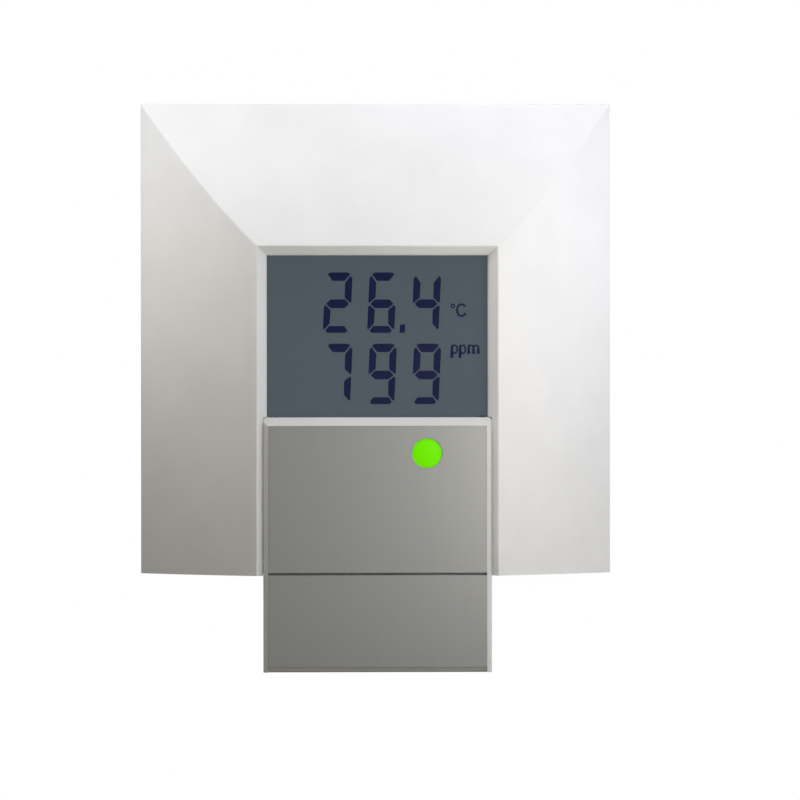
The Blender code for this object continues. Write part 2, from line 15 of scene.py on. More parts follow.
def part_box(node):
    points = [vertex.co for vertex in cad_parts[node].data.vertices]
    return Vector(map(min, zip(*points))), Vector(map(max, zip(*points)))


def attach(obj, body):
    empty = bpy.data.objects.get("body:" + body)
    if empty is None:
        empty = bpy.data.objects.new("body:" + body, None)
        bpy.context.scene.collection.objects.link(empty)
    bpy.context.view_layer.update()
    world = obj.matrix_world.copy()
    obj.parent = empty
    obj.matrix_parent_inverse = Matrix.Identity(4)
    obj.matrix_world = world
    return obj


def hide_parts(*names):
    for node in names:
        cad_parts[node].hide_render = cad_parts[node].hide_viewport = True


MM = 0.001

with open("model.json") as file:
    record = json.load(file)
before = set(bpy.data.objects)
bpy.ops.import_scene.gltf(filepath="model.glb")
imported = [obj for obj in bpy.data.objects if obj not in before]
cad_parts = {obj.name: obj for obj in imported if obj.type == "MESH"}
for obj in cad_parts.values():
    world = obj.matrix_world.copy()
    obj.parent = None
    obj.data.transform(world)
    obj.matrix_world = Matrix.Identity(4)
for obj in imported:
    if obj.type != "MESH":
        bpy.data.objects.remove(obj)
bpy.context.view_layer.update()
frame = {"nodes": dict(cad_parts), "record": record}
scene = bpy.context.scene
NODES = frame["nodes"]
BODY_OF = {
    node: body for body, members in frame["record"]["behaviour"]["bodies"].items() for node in members
}
SLOT_OF = {part["node"]: part["material_slot"] for part in frame["record"]["subparts"]}


# ---------------------------------------------------------------- materials


def new_material(name):
    made = bpy.data.materials.new(name)
    made.use_nodes = True
    return made, made.node_tree, made.node_tree.nodes["Principled BSDF"]


def node_of(tree, kind, **sockets):
    """A node with some of its input sockets set."""
    made = tree.nodes.new(kind)
    for socket, value in sockets.items():
        made.inputs[socket.replace("_", " ")].default_value = value
    return made


def grain_of(tree, size, detail=2.0, stretch=None):
    """Noise with features of this size in millimetres, in the object's own place."""
    place = tree.nodes.new("ShaderNodeTexCoord")
    noise = node_of(tree, "ShaderNodeTexNoise", Scale=1.0 / (size * MM), Detail=detail, Roughness=0.55)
    if stretch:
        mapping = node_of(tree, "ShaderNodeMapping", Scale=stretch)
        tree.links.new(place.outputs["Object"], mapping.inputs["Vector"])
        tree.links.new(mapping.outputs["Vector"], noise.inputs["Vector"])
    else:
        tree.links.new(place.outputs["Object"], noise.inputs["Vector"])
    return noise.outputs["Fac"]


def ranged(tree, value, low, high, start=0.3, end=0.7):
    """Turns noise into a value between low and high."""
    span = {"From_Min": start, "From_Max": end, "To_Min": low, "To_Max": high}
    made = node_of(tree, "ShaderNodeMapRange", **span)
    tree.links.new(value, made.inputs["Value"])
    return made.outputs["Result"]


def mixed(tree, factor, first, second):
    """A colour between two, by a factor or a socket."""
    made = tree.nodes.new("ShaderNodeMix")
    made.data_type = "RGBA"
    for socket, value in ((made.inputs[6], first), (made.inputs[7], second)):
        if isinstance(value, bpy.types.NodeSocket):
            tree.links.new(value, socket)
        else:
            socket.default_value = (*value, 1.0)
    tree.links.new(factor, made.inputs[0])
    return made.outputs[2]


def shaded(colour, share):
    """A darker or lighter shade of a colour."""
    return tuple(channel * share for channel in colour)


def bumped(tree, shader, layers):
    """Chains bump layers of (height socket, distance in millimetres, strength)."""
    last = None
    for height, distance, strength in layers:
        bump = node_of(tree, "ShaderNodeBump", Strength=strength, Distance=distance * MM)
        tree.links.new(height, bump.inputs["Height"])
        if last:
            tree.links.new(last.outputs["Normal"], bump.inputs["Normal"])
        last = bump
    tree.links.new(last.outputs["Normal"], shader.inputs["Normal"])


def moulded(name, colour, roughness, grain=0.22, depth=0.012, mottle=0.03, dust_and_shade=0.12, specular=0.5):
    """Moulded or painted plastic: fine spark-eroded grain, faint mottling, and dust and painted shade that
    darken its corners.

    The grain's size and depth are in millimetres, and the dust and shade amount sets how far the corners
    darken, as dust and painted shade.
    """
    made, tree, shader = new_material(name)
    cloud = ranged(tree, grain_of(tree, 9.0, 3.0), 0.0, 1.0)
    base = mixed(tree, cloud, shaded(colour, 1 - mottle), shaded(colour, 1 + mottle * 0.5))
    if dust_and_shade:
        # Painted shade: corners that the AO node finds hidden darken towards 0.45 of the colour, for dust
        # and for the shade that falls there.
        corners = node_of(tree, "ShaderNodeAmbientOcclusion", Distance=1.6 * MM)
        corners.samples = 8
        shade = ranged(tree, corners.outputs["AO"], dust_and_shade, 0.0, 0.35, 0.85)
        base = mixed(tree, shade, base, shaded(colour, 0.45))
    tree.links.new(base, shader.inputs["Base Color"])
    fine = grain_of(tree, grain, 2.0)
    rough = ranged(tree, grain_of(tree, 1.6, 3.0), roughness - 0.04, roughness + 0.05)
    tree.links.new(rough, shader.inputs["Roughness"])
    shader.inputs["Specular IOR Level"].default_value = specular
    bumped(tree, shader, [(fine, depth, 0.5), (grain_of(tree, 14.0, 1.0), 0.05, 0.12)])
    return made


def brushed(name, colour, roughness, metallic):
    """Satin metallic paint with faint upright streaks and a fine flake."""
    made, tree, shader = new_material(name)
    streaks = grain_of(tree, 0.35, 3.0, stretch=(1.0, 1.0, 0.02))
    flakes = grain_of(tree, 0.09, 1.0)
    base = mixed(tree, ranged(tree, streaks, 0.0, 1.0), shaded(colour, 0.985), shaded(colour, 1.012))
    base = mixed(tree, ranged(tree, flakes, 0.0, 0.35, 0.55, 0.75), base, shaded(colour, 1.22))
    tree.links.new(base, shader.inputs["Base Color"])
    rough = ranged(tree, streaks, roughness - 0.03, roughness + 0.03)
    tree.links.new(rough, shader.inputs["Roughness"])
    shader.inputs["Metallic"].default_value = metallic
    bumped(tree, shader, [(streaks, 0.004, 0.25), (flakes, 0.003, 0.4)])
    return made


def metal(name, colour, roughness, lay=(1.0, 1.0, 1.0), size=0.2):
    """Bare metal with machining marks along one direction and light handling marks."""
    made, tree, shader = new_material(name)
    marks = grain_of(tree, size, 4.0, stretch=lay)
    smears = grain_of(tree, 2.4, 3.0)
    base = mixed(tree, ranged(tree, smears, 0.0, 1.0), shaded(colour, 0.82), colour)
    tree.links.new(base, shader.inputs["Base Color"])
    rough = ranged(tree, smears, roughness - 0.06, roughness + 0.1)
    tree.links.new(rough, shader.inputs["Roughness"])
    shader.inputs["Metallic"].default_value = 1.0
    bumped(tree, shader, [(marks, 0.006, 0.5)])
    return made


def laminate(name, mask, edge):
    """Circuit board: solder mask over a glass weave that shows faintly."""
    made, tree, shader = new_material(name)
    place = tree.nodes.new("ShaderNodeTexCoord")
    weave = node_of(tree, "ShaderNodeTexWave", Scale=1.0 / (2.2 * MM), Distortion=0.6)
    across = node_of(tree, "ShaderNodeTexWave", Scale=1.0 / (2.2 * MM), Distortion=0.6)
    across.bands_direction = "Z"
    for wave in (weave, across):
        tree.links.new(place.outputs["Object"], wave.inputs["Vector"])
    cloth = tree.nodes.new("ShaderNodeMath")
    cloth.operation = "MULTIPLY"
    tree.links.new(weave.outputs["Fac"], cloth.inputs[0])
    tree.links.new(across.outputs["Fac"], cloth.inputs[1])
    base = mixed(tree, ranged(tree, cloth.outputs[0], 0.0, 0.5, 0.0, 1.0), mask, edge)
    base = mixed(tree, ranged(tree, grain_of(tree, 6.0), 0.0, 0.25), base, shaded(mask, 0.6))
    tree.links.new(base, shader.inputs["Base Color"])
    rough = ranged(tree, grain_of(tree, 0.8), 0.24, 0.36)
    tree.links.new(rough, shader.inputs["Roughness"])
    shader.inputs["Coat Weight"].default_value = 0.4
    shader.inputs["Coat Roughness"].default_value = 0.12
    bumped(tree, shader, [(cloth.outputs[0], 0.01, 0.25)])
    return made


def glowing(name, base_colour, glow, strength, roughness, specular=0.15):
    """A surface whose own light carries most of its tone: a real lamp in the indicator, and painted light
    on the display and its marks.
    """
    made, tree, shader = new_material(name)
    cloud = ranged(tree, grain_of(tree, 5.0), 0.0, 1.0)
    base = mixed(tree, cloud, shaded(base_colour, 0.96), shaded(base_colour, 1.04))
    tree.links.new(base, shader.inputs["Base Color"])
    shader.inputs["Emission Color"].default_value = (*glow, 1.0)
    shader.inputs["Emission Strength"].default_value = strength
    shader.inputs["Specular IOR Level"].default_value = specular
    rough = ranged(tree, grain_of(tree, 0.6), roughness - 0.03, roughness + 0.05)
    tree.links.new(rough, shader.inputs["Roughness"])
    bumped(tree, shader, [(grain_of(tree, 0.5), 0.004, 0.3)])
    return made


def clear_window(name):
    """The display's clear cover, with fine wiping marks in its gloss."""
    made, tree, shader = new_material(name)
    cloud = ranged(tree, grain_of(tree, 6.0), 0.0, 1.0)
    base = mixed(tree, cloud, (0.02, 0.025, 0.03), (0.03, 0.035, 0.04))
    tree.links.new(base, shader.inputs["Base Color"])
    rough = ranged(tree, grain_of(tree, 0.5, stretch=(1.0, 1.0, 0.15)), 0.05, 0.14)
    tree.links.new(rough, shader.inputs["Roughness"])
    shader.inputs["Alpha"].default_value = 0.1
    shader.inputs["IOR"].default_value = 1.49
    bumped(tree, shader, [(grain_of(tree, 3.0), 0.004, 0.2)])
    return made


def zebra(name):
    """Elastomer strip of thin conductive and plain layers, side by side."""
    made, tree, shader = new_material(name)
    place = tree.nodes.new("ShaderNodeTexCoord")
    bars = node_of(tree, "ShaderNodeTexWave", Scale=1.0 / (1.6 * MM), Distortion=0.2)
    tree.links.new(place.outputs["Object"], bars.inputs["Vector"])
    base = mixed(tree, ranged(tree, bars.outputs["Fac"], 0.0, 1.0), (0.02, 0.02, 0.02), (0.42, 0.2, 0.16))
    tree.links.new(base, shader.inputs["Base Color"])
    shader.inputs["Roughness"].default_value = 0.62
    bumped(tree, shader, [(bars.outputs["Fac"], 0.02, 0.4)])
    return made


WHITE = (0.79, 0.79, 0.78)
MATERIALS = {
    "white": moulded("white_plastic", WHITE, 0.48, specular=0.3),
    "wall_plate_white": moulded("wall_plate_plastic", (0.74, 0.73, 0.70), 0.5, grain=0.35, depth=0.02),
    "face_grey": brushed("grey_face_paint", (0.455, 0.455, 0.428), 0.42, 0.55),
    "back_white": moulded("back_plastic", (0.70, 0.69, 0.66), 0.52, grain=0.35, depth=0.02),
    "window": clear_window("window_acrylic"),
    # The display's tone is its own glow, painted light standing for the light that falls on it.
    "lcd": glowing("lcd_polariser_painted_glow", (0.02, 0.024, 0.026), (0.075, 0.099, 0.115), 1.0, 0.35),
    "indicator": glowing("indicator_lens", (0.04, 0.22, 0.002), (0.132, 0.66, 0.0), 1.0, 0.35, 0.06),
    "circuit_board": laminate("board_laminate", (0.012, 0.105, 0.045), (0.03, 0.2, 0.08)),
    "black_plastic": moulded("black_plastic", (0.022, 0.022, 0.024), 0.46, grain=0.12, depth=0.008),
    "screw_steel": metal("screw_steel", (0.62, 0.61, 0.58), 0.3),
    "can_aluminium": metal("can_aluminium", (0.78, 0.79, 0.80), 0.34, lay=(1.0, 1.0, 0.04)),
    "membrane": moulded("membrane_fabric", (0.82, 0.82, 0.79), 0.85, grain=0.3, depth=0.04, mottle=0.08),
    "sensor_cap_white": moulded("sensor_cap_plastic", (0.80, 0.80, 0.77), 0.45, grain=0.15),
    "terminal_green": moulded("terminal_plastic", (0.03, 0.24, 0.09), 0.4, grain=0.15, depth=0.008),
    "switch_red": moulded("switch_plastic", (0.46, 0.025, 0.025), 0.42, grain=0.12, depth=0.008),
    "slider_white": moulded("slider_plastic", (0.82, 0.81, 0.77), 0.4, grain=0.1, depth=0.006),
    "button_red": moulded("button_plastic", (0.55, 0.03, 0.03), 0.38, grain=0.1, depth=0.006),
}
MATERIAL_OF = {
    # The module housing takes the cover's white at 0.885 of its brightness.
    "module_housing": moulded("module_darker_white", shaded(WHITE, 0.885), 0.48, dust_and_shade=0.06, specular=0.3),
    "lcd_contact_strip": zebra("contact_strip"),
}
# The display's marks take their dark blue from a faint glow, painted light.
MARKS = glowing("lcd_marks_painted_glow", (0.003, 0.004, 0.02), (0.0025, 0.0035, 0.034), 1.0, 0.4)
GOLD = metal("contact_gold", (0.83, 0.60, 0.27), 0.25, size=0.1)
TIN = metal("solder_tin", (0.70, 0.70, 0.69), 0.32, size=0.15)


# ---------------------------------------------------------------- shapes


def place(x, depth, z):
    """The point at x, at this depth off the wall, at z, from millimetres."""
    return Vector((x, -depth, z)) * MM


def mesh_of(shape, name):
    """Turns a bmesh into a mesh, and frees it."""
    mesh = bpy.data.meshes.new(name)
    shape.to_mesh(mesh)
    shape.free()
    return mesh


def add_piece(name, mesh, body, slot, *materials):
    """A new piece that rides on a body and takes its slot's material, or the ones given."""
    piece = bpy.data.objects.new(name, mesh)
    scene.collection.objects.link(piece)
    for material in materials or (MATERIALS[slot],):
        mesh.materials.append(material)
    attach(piece, body)
    return piece


def crisp_corners(least=radians(50)):
    """A node group that keeps the edges past an angle sharp, where a rounding ends at a square one."""
    group = bpy.data.node_groups.new("crisp_corners", "GeometryNodeTree")
    for way in ("INPUT", "OUTPUT"):
        group.interface.new_socket("Geometry", in_out=way, socket_type="NodeSocketGeometry")
    start, end = group.nodes.new("NodeGroupInput"), group.nodes.new("NodeGroupOutput")
    angle = group.nodes.new("GeometryNodeInputMeshEdgeAngle")
    past = group.nodes.new("FunctionNodeCompare")
    past.operation = "GREATER_THAN"
    past.inputs["B"].default_value = least
    shade = group.nodes.new("GeometryNodeSetShadeSmooth")
    shade.domain = "EDGE"
    shade.inputs["Shade Smooth"].default_value = False
    group.links.new(angle.outputs["Unsigned Angle"], past.inputs["A"])
    group.links.new(past.outputs["Result"], shade.inputs["Selection"])
    group.links.new(start.outputs[0], shade.inputs[0])
    group.links.new(shade.outputs[0], end.inputs[0])
    return group


CRISP_CORNERS = crisp_corners()


def rounded(piece, width, segments=3):
    """Rounds the edges that carry a bevel weight, and keeps the broad faces flat to the eye."""
    bevel = piece.modifiers.new("rounded", "BEVEL")
    bevel.width = width * MM
    bevel.segments = segments
    bevel.limit_method = "WEIGHT"
    bevel.loop_slide = False
    piece.modifiers.new("crisp", "NODES").node_group = CRISP_CORNERS
    even = piece.modifiers.new("even", "WEIGHTED_NORMAL")
    even.weight = 60
    even.keep_sharp = True
    return piece


def weigh_edges(shape, rule=None, least=radians(24)):
    """Marks the edges to round. The rule gives a weight for an edge from its middle, in millimetres."""
    layers = shape.edges.layers.float
    layer = layers.get("bevel_weight_edge") or layers.new("bevel_weight_edge")
    for edge in shape.edges:
        if len(edge.link_faces) != 2 or edge.calc_face_angle(0) < least:
            continue
        middle = (edge.verts[0].co + edge.verts[1].co) / 2 / MM
        edge[layer] = rule(middle.x, -middle.y, middle.z) if rule else 1.0
        edge.smooth = edge[layer] > 0


def whole_shape(node):
    """The CAD node's mesh with its triangles joined into whole flat faces."""
    shape = bmesh.new()
    shape.from_mesh(NODES[node].data)
    bmesh.ops.remove_doubles(shape, verts=shape.verts, dist=1.5e-6)
    bmesh.ops.join_triangles(
        shape, faces=shape.faces, angle_face_threshold=radians(0.08), angle_shape_threshold=pi
    )
    return shape


def stand_in(node, mesh, *materials):
    """A piece that replaces a CAD node, on its body and in its slot."""
    piece = add_piece(mesh.name, mesh, BODY_OF[node], SLOT_OF[node], *materials)
    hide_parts(node)
    return piece


def finer(node, width, segments=3, rule=None, growth=None):
    """A copy of the CAD node with rounded edges, which stands in for it."""
    shape = whole_shape(node)
    for vert in shape.verts if growth else ():
        vert.co += growth(vert.co.x / MM, vert.co.z / MM)
    for face in shape.faces:
        face.smooth = True
    weigh_edges(shape, rule)
    materials = [MATERIAL_OF[node]] if node in MATERIAL_OF else []
    rounded(stand_in(node, mesh_of(shape, node + "_finished"), *materials), width, segments)


def two_toned(node, width, rule, first, second):
    """As finer, with one of two materials on each face by its middle, in millimetres."""
    shape = whole_shape(node)
    weigh_edges(shape)
    for face in shape.faces:
        face.smooth = True
        middle = face.calc_center_median() / MM
        face.material_index = int(rule(middle.x, -middle.y, middle.z))
    rounded(stand_in(node, mesh_of(shape, node + "_finished"), first, second), width, 2)


def turned_shape(profile, x, z, sides=48):
    """Turns a profile of (radius, depth) points round an axis that stands off the wall."""
    shape = bmesh.new()
    rings = []
    for radius, depth in profile:
        if radius == 0:
            rings.append([shape.verts.new(place(x, depth, z))] * sides)
            continue
        turns = [2 * pi * step / sides for step in range(sides)]
        points = [place(x + radius * cos(turn), depth, z + radius * sin(turn)) for turn in turns]
        rings.append([shape.verts.new(point) for point in points])
    for first, second in zip(rings, rings[1:]):
        for i in range(sides):
            j = (i + 1) % sides
            corners = dict.fromkeys((first[i], first[j], second[j], second[i]))
            if len(corners) > 2:
                shape.faces.new(list(corners))
    bmesh.ops.recalc_face_normals(shape, faces=shape.faces)
    return shape


def eased(profile, radius, steps=5):
    """Rounds the inner corners of a profile."""
    points = [Vector(point) for point in profile]
    made = [points[0]]
    for before, corner, after in zip(points, points[1:], points[2:]):
        first, second = (before - corner), (after - corner)
        reach = min(radius, first.length * 0.45, second.length * 0.45)
        start = corner + first.normalized() * reach
        end = corner + second.normalized() * reach
        for step in range(steps + 1):
            share = step / steps
            made.append((1 - share) ** 2 * start + 2 * share * (1 - share) * corner + share**2 * end)
    made.append(points[-1])
    return [(point.x, point.y) for point in made]


def turned(node, profile, x, z, sides=48):
    """A turned piece that stands in for a CAD node."""
    mesh = mesh_of(turned_shape(profile, x, z, sides), node + "_finished")
    mesh.shade_smooth()
    mesh.set_sharp_from_angle(angle=radians(40))
    stand_in(node, mesh)


def middle_of(node):
    """The (x, z) middle of a CAD node and its depths, in millimetres."""
    low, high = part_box(node)
    return (low.x + high.x) / 2 / MM, (low.z + high.z) / 2 / MM, -high.y / MM, -low.y / MM


def limits_of(node):
    """A CAD node's left, right, back, front, foot and top, in millimetres."""
    low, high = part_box(node)
    return [value / MM for value in (low.x, high.x, -high.y, -low.y, low.z, high.z)]


def prism(shape, outline, depths):
    """A thin flat block from (x, z) points."""
    back, front = ([shape.verts.new(place(x, depth, z)) for x, z in outline] for depth in depths)
    shape.faces.new(front)
    shape.faces.new(back)
    for i in range(len(outline)):
        j = (i + 1) % len(outline)
        shape.faces.new((front[i], front[j], back[j], back[i]))


def stroke(points, width, closed=False):
    """The outline of a line of this width through (x, z) points, as a left and a right side."""
    sides = ([], [])
    count = len(points)
    for i, point in enumerate(points):
        here = Vector(point)
        before = Vector(points[i - 1]) if i or closed else here
        after = Vector(points[(i + 1) % count]) if i < count - 1 or closed else here
        along = ((here - before).normalized() + (after - here).normalized()).normalized()
        bend = max(0.5, along.dot((after - here).normalized() or along))
        across = Vector((-along.y, along.x)) * width / 2 / bend
        sides[0].append(tuple(here + across))
        sides[1].append(tuple(here - across))
    return sides


def add_stroke(shape, points, width, depths, closed=False):
    """A thin raised line along (x, z) points."""
    left, right = stroke(points, width, closed)
    if not closed:
        prism(shape, left + right[::-1], depths)
        return
    rows = [
        [shape.verts.new(place(x, depth, z)) for x, z in line]
        for line, depth in ((left, depths[0]), (left, depths[1]), (right, depths[1]), (right, depths[0]))
    ]
    for i in range(len(points)):
        j = (i + 1) % len(points)
        for first, second in zip(rows, rows[1:] + rows[:1]):
            shape.faces.new((first[i], first[j], second[j], second[i]))


def arc(x, z, wide, high, start, end, steps=20):
    """Points along part of an ellipse, its angles in degrees."""
    angles = [radians(start + (end - start) * step / steps) for step in range(steps + 1)]
    return [(x + wide * cos(a), z + high * sin(a)) for a in angles]


def closed_piece(name, shape, body, slot, *materials):
    """A piece from closed shapes, with its faces turned outwards."""
    bmesh.ops.recalc_face_normals(shape, faces=shape.faces)
    return add_piece(name, mesh_of(shape, name), body, slot, *materials)


# ---------------------------------------------------------------- cover, module and plates

for node, obj in NODES.items():
    obj.data.materials.clear()
    obj.data.materials.append(MATERIAL_OF.get(node, MATERIALS[SLOT_OF[node]]))

# Where the cover's rim, ridge, window and channel, and the pocket of the plates lie, off the middle.
RIM_HALF = 42.5
RIM_DEPTH = 10.0
FACE_DEPTH = 26.0
RIDGE_HALF = 21.5
RIDGE_TOP = 16.2
WINDOW_HALF, WINDOW_FOOT = 19.8, 14.8
LIP_DEPTHS = (24.1, 24.3)
CHANNEL_EDGE = (20.2, 20.6)
CHANNEL_PAST = 20.7
POCKET_HALF = 19.6
PLATES_TOP, PLATES_BACK = -15.0, 24.0
CHAMFER_HALF, CHAMFER_FOOT = 19.0, -16.5
NEAR = 0.1


def cover_skin(x, z):
    """The depth of the cover's outer surface, where its sloping faces and its ridge are."""
    rise = FACE_DEPTH - RIM_DEPTH
    side = RIM_DEPTH + rise * (RIM_HALF - abs(x)) / (RIM_HALF - RIDGE_HALF)
    top = RIM_DEPTH + rise * (RIM_HALF - z) / (RIM_HALF - RIDGE_TOP)
    return min(FACE_DEPTH, side, top)


def cover_rule(x, depth, z):
    """The outside of the cover and the lip of its window are rounded, and the hollow behind isn't."""
    if abs(x) < WINDOW_HALF and LIP_DEPTHS[0] < depth < LIP_DEPTHS[1] and z < WINDOW_FOOT:
        return 1.05
    if CHANNEL_EDGE[0] < abs(x) < CHANNEL_EDGE[1] and depth > PLATES_BACK:
        return 0.12
    if abs(x) < CHANNEL_PAST and z < WINDOW_FOOT:
        return 0.0
    if depth > cover_skin(x, z) - NEAR:
        return 0.65 if z > NEAR - RIM_HALF else 0.0
    beside, above = abs(x) > RIM_HALF - NEAR, abs(z) > RIM_HALF - NEAR
    if beside and above:
        return 1.0 if z > 0 else 0.0
    return 0.5 if (beside or above) and depth < 1.0 else 0.0


def housing_rule(x, depth, z):
    """The pocket that holds the plates keeps crisp edges, so that the plates lie flush."""
    if depth > PLATES_BACK and abs(x) < POCKET_HALF and z < PLATES_TOP:
        return 0.2
    return 0.3 if depth > FACE_DEPTH - 1.0 and abs(x) > CHANNEL_EDGE[0] else 1.0


def plate_rule(x, depth, z):
    """The edges along the housing are crisp, and those at the parting line are softer."""
    along_housing = depth < FACE_DEPTH - NEAR or abs(x) > CHAMFER_HALF or z > CHAMFER_FOOT
    return 0.15 if along_housing else 0.28


def plate_growth(x, z):
    """The plates fill their pocket but for a hair, so that no dark line runs round them."""
    across = copysign(0.03, x) if abs(x) > 19.3 else 0.0
    return Vector((across, 0.0, 0.04 if z > -15.9 else 0.0)) * MM


finer("cover_frame", 0.35, 4, cover_rule)
finer("module_housing", 0.16, 3, housing_rule)
finer("upper_face_plate", 0.35, 4, plate_rule, plate_growth)
finer("service_cover", 0.35, 4, plate_rule, plate_growth)
finer("lcd_cell", 0.1, 2)
for node in ("wall_plate", "rear_cover"):
    finer(node, 0.25, 3)
for node in ("terminal_block", "plug_socket", "sensor_cap", "dip_switch_body", "button_base"):
    finer(node, 0.14, 3)
for node in ("terminal_board", "main_board", "humidity_sensor", "processor", "voltage_regulator"):
    finer(node, 0.08, 2)
for node in ("dip_slider_1", "dip_slider_2", "dip_slider_3", "dip_slider_4"):
    finer(node, 0.12, 3)
for node in ("lcd_holder", "lcd_contact_strip", "co2_cell", "co2_filter"):
    finer(node, 0.15, 2)


# ---------------------------------------------------------------- display and indicator

DIGIT_WIDTH = 4.87
DIGIT_HEIGHT = 10.78
DIGIT_PITCH = 7.92
DIGIT_LEFT = -9.46
ROW_TOPS = (11.61, -1.13)
SLANT = tan(radians(2.7))
MARK_DEPTHS = (21.9, 21.96)


def mirrored(points):
    """A segment of the left side as one of the right side."""
    return [(DIGIT_WIDTH - x, down) for x, down in points]


UPPER_SIDE = [(0.34, 0.62), (1.27, 1.86), (1.23, 4.50), (0.28, 5.38), (0.0, 5.34), (0.0, 1.02)]
LOWER_SIDE = [(0.30, 5.86), (1.24, 6.72), (1.17, 9.12), (0.25, 10.18), (0.0, 10.0), (0.0, 6.10)]
SEGMENTS = {
    "a": [(0.40, 0.32), (0.88, 0.0), (3.99, 0.0), (4.47, 0.32), (3.50, 1.50), (1.37, 1.50)],
    "b": mirrored(UPPER_SIDE),
    "c": mirrored(LOWER_SIDE),
    "d": [(0.44, 10.42), (1.06, 9.58), (3.81, 9.58), (4.43, 10.42), (4.02, 10.8), (0.85, 10.8)],
    "e": LOWER_SIDE,
    "f": UPPER_SIDE,
    "g": [(0.38, 5.62), (1.13, 4.83), (3.74, 4.83), (4.49, 5.62), (3.66, 6.37), (1.21, 6.37)],
    ".": [(5.83, 9.30), (6.79, 9.30), (6.79, 10.78), (5.83, 10.78)],
}
LIT = {"2": "abged", "6": "acdefg", "6.": "acdefg.", "4": "bcfg", "7": "abc", "9": "abcdfg"}


def add_reading(name, figures, top):
    """One row of slanted seven-segment figures, their tops at this height."""
    shape = bmesh.new()
    for number, figure in enumerate(figures):
        left = DIGIT_LEFT + DIGIT_PITCH * number
        for segment in LIT[figure]:
            outline = [
                (left + x + (DIGIT_HEIGHT / 2 - down) * SLANT, top - down) for x, down in SEGMENTS[segment]
            ]
            prism(shape, outline, MARK_DEPTHS)
    closed_piece(name, shape, "front", "lcd", MARKS)


add_reading("reading_temperature", ("2", "6.", "4"), ROW_TOPS[0])
add_reading("reading_gas", ("7", "9", "9"), ROW_TOPS[1])

UNIT_LINE, FINE_LINE, RING_LINE = 0.34, 0.29, 0.22
degree = bmesh.new()
add_stroke(degree, arc(13.58, 5.62, 0.31, 0.31, 0, 342, 19), RING_LINE, MARK_DEPTHS, closed=True)
add_stroke(degree, arc(15.12, 4.86, 0.80, 1.06, 36, 330), UNIT_LINE, MARK_DEPTHS)
closed_piece("unit_celsius", degree, "front", "lcd", MARKS)

parts = bmesh.new()
X_HEIGHT, BASELINE, DESCENDER = -1.32, -2.96, -3.68
STEMS = ((16.40, X_HEIGHT), (17.26, X_HEIGHT - 0.3), (18.12, X_HEIGHT - 0.3))
for left in (13.38, 14.84):
    add_stroke(parts, [(left, X_HEIGHT), (left, DESCENDER)], FINE_LINE, MARK_DEPTHS)
    bowl = arc(left + 0.52, (X_HEIGHT + BASELINE) / 2, 0.46, 0.72, 0, 342, 19)
    add_stroke(parts, bowl, FINE_LINE, MARK_DEPTHS, closed=True)
for x, top in STEMS:
    add_stroke(parts, [(x, top), (x, BASELINE)], FINE_LINE, MARK_DEPTHS)
for x in (16.83, 17.69):
    add_stroke(parts, arc(x, X_HEIGHT - 0.5, 0.43, 0.38, 0, 180, 12), FINE_LINE, MARK_DEPTHS)
closed_piece("unit_ppm", parts, "front", "lcd", MARKS)

x, z, back, front = middle_of("indicator_led")
DOME_RADIUS, DOME_FOOT, DOME_STEPS = 2.55, 25.2, 14
tilts = [pi / 2 * step / DOME_STEPS for step in range(DOME_STEPS + 1)]
dome = [(DOME_RADIUS * sin(tilt), DOME_FOOT + (front - DOME_FOOT) * cos(tilt)) for tilt in tilts]
dome += [(DOME_RADIUS, 21.2), (2.9, 20.9), (2.9, back + 0.1), (2.8, back), (0, back)]
turned("indicator_led", dome, x, z, sides=72)
x, z, back, front = middle_of("led_spacer")
tube = [(1.0, front), (2.4, front), (2.4, back), (1.0, back), (1.0, front)]
turned("led_spacer", tube, x, z)


# ---------------------------------------------------------------- metal and moving parts


def cut_mesh(shape, name, cutter):
    """The mesh of a shape with a cutter taken out of it."""
    bmesh.ops.recalc_face_normals(cutter, faces=cutter.faces)
    work = bpy.data.objects.new("work", mesh_of(shape, "uncut"))
    tool = bpy.data.objects.new("tool", mesh_of(cutter, "tool"))
    for obj in (work, tool):
        scene.collection.objects.link(obj)
    difference = work.modifiers.new("cut", "BOOLEAN")
    difference.operation = "DIFFERENCE"
    difference.solver = "EXACT"
    difference.object = tool
    bpy.context.view_layer.update()
    made = bpy.data.meshes.new_from_object(work.evaluated_get(bpy.context.evaluated_depsgraph_get()))
    made.name = name
    for obj in (work, tool):
        bpy.data.objects.remove(obj, do_unlink=True)
    return made


def add_block(shape, xs, depths, zs):
    """A block from its ranges."""
    prism(shape, [(xs[0], zs[0]), (xs[1], zs[0]), (xs[1], zs[1]), (xs[0], zs[1])], depths)


def screw(node, head_radius, head_back, head_front, shank, turn=0.0, slotted=False):
    """A screw with a domed head and a cross or a straight slot, its head at the end it is nearer."""
    x, z, back, front = middle_of(node)
    from_front = abs(head_front - front) < abs(head_back - back)
    crown, seat = (head_front, head_back) if from_front else (head_back, head_front)
    step = crown - seat
    tip = back if from_front else front
    profile = [(0, crown), (head_radius * 0.8, crown - step * 0.12), (head_radius, crown - step * 0.45)]
    profile = eased(profile + [(head_radius, seat), (shank, seat)], 0.22)
    profile += [(shank, tip + (0.8 if from_front else -0.8)), (shank * 0.35, tip), (0, tip)]
    reach = sorted((crown - step * 0.6, crown + step * 0.3))
    arm, half = head_radius * (1.3 if slotted else 0.52), 0.24
    recess = [(-arm, -half), (arm, -half), (arm, half), (-arm, half)]
    if not slotted:
        quarter = [(arm, -half), (arm, half), (half, half)]
        recess = []
        for _ in range(4):
            recess += quarter
            quarter = [(-v, u) for u, v in quarter]
    cutter = bmesh.new()
    spun = [(x + u * cos(turn) - v * sin(turn), z + u * sin(turn) + v * cos(turn)) for u, v in recess]
    prism(cutter, spun, reach)
    mesh = cut_mesh(turned_shape(profile, x, z, 40), node + "_finished", cutter)
    mesh.shade_smooth()
    mesh.set_sharp_from_angle(angle=radians(35))
    stand_in(node, mesh)


